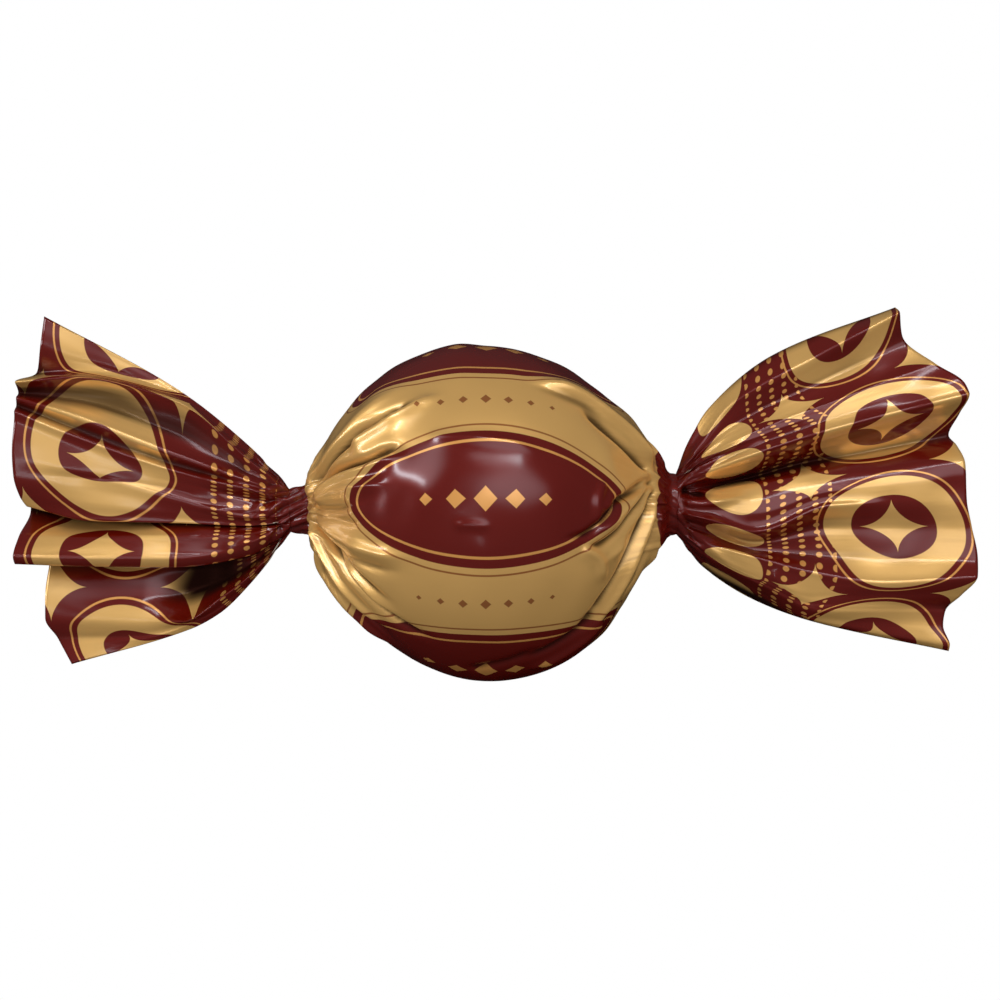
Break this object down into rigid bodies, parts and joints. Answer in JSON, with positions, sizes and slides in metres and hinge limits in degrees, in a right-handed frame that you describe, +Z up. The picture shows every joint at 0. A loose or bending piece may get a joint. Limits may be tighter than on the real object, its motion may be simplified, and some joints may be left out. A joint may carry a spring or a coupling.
{
  "type": "chocolate truffle",
  "caption": "Ball-shaped chocolate truffle shut in a twist wrapper of printed metallised film, with a gathered neck and a ruffled fan-shaped tail at each side",
  "frame": {"origin": "the middle of the small flat spot under the ball, on the surface that the sweet lies on", "axes": "+X runs along the sweet from its left tail to its right tail, +Y points to the top corners of both tails as the printed face is read, and +Z points up out of the printed face"},
  "size_m": [0.1054, 0.0411, 0.036],
  "materials": {
    "film": "thin metallised film, gold with glossy burgundy printing"
  },
  "bodies": {
    "root": {"wrapped_truffle": "film"}
  },
  "joints": []
}
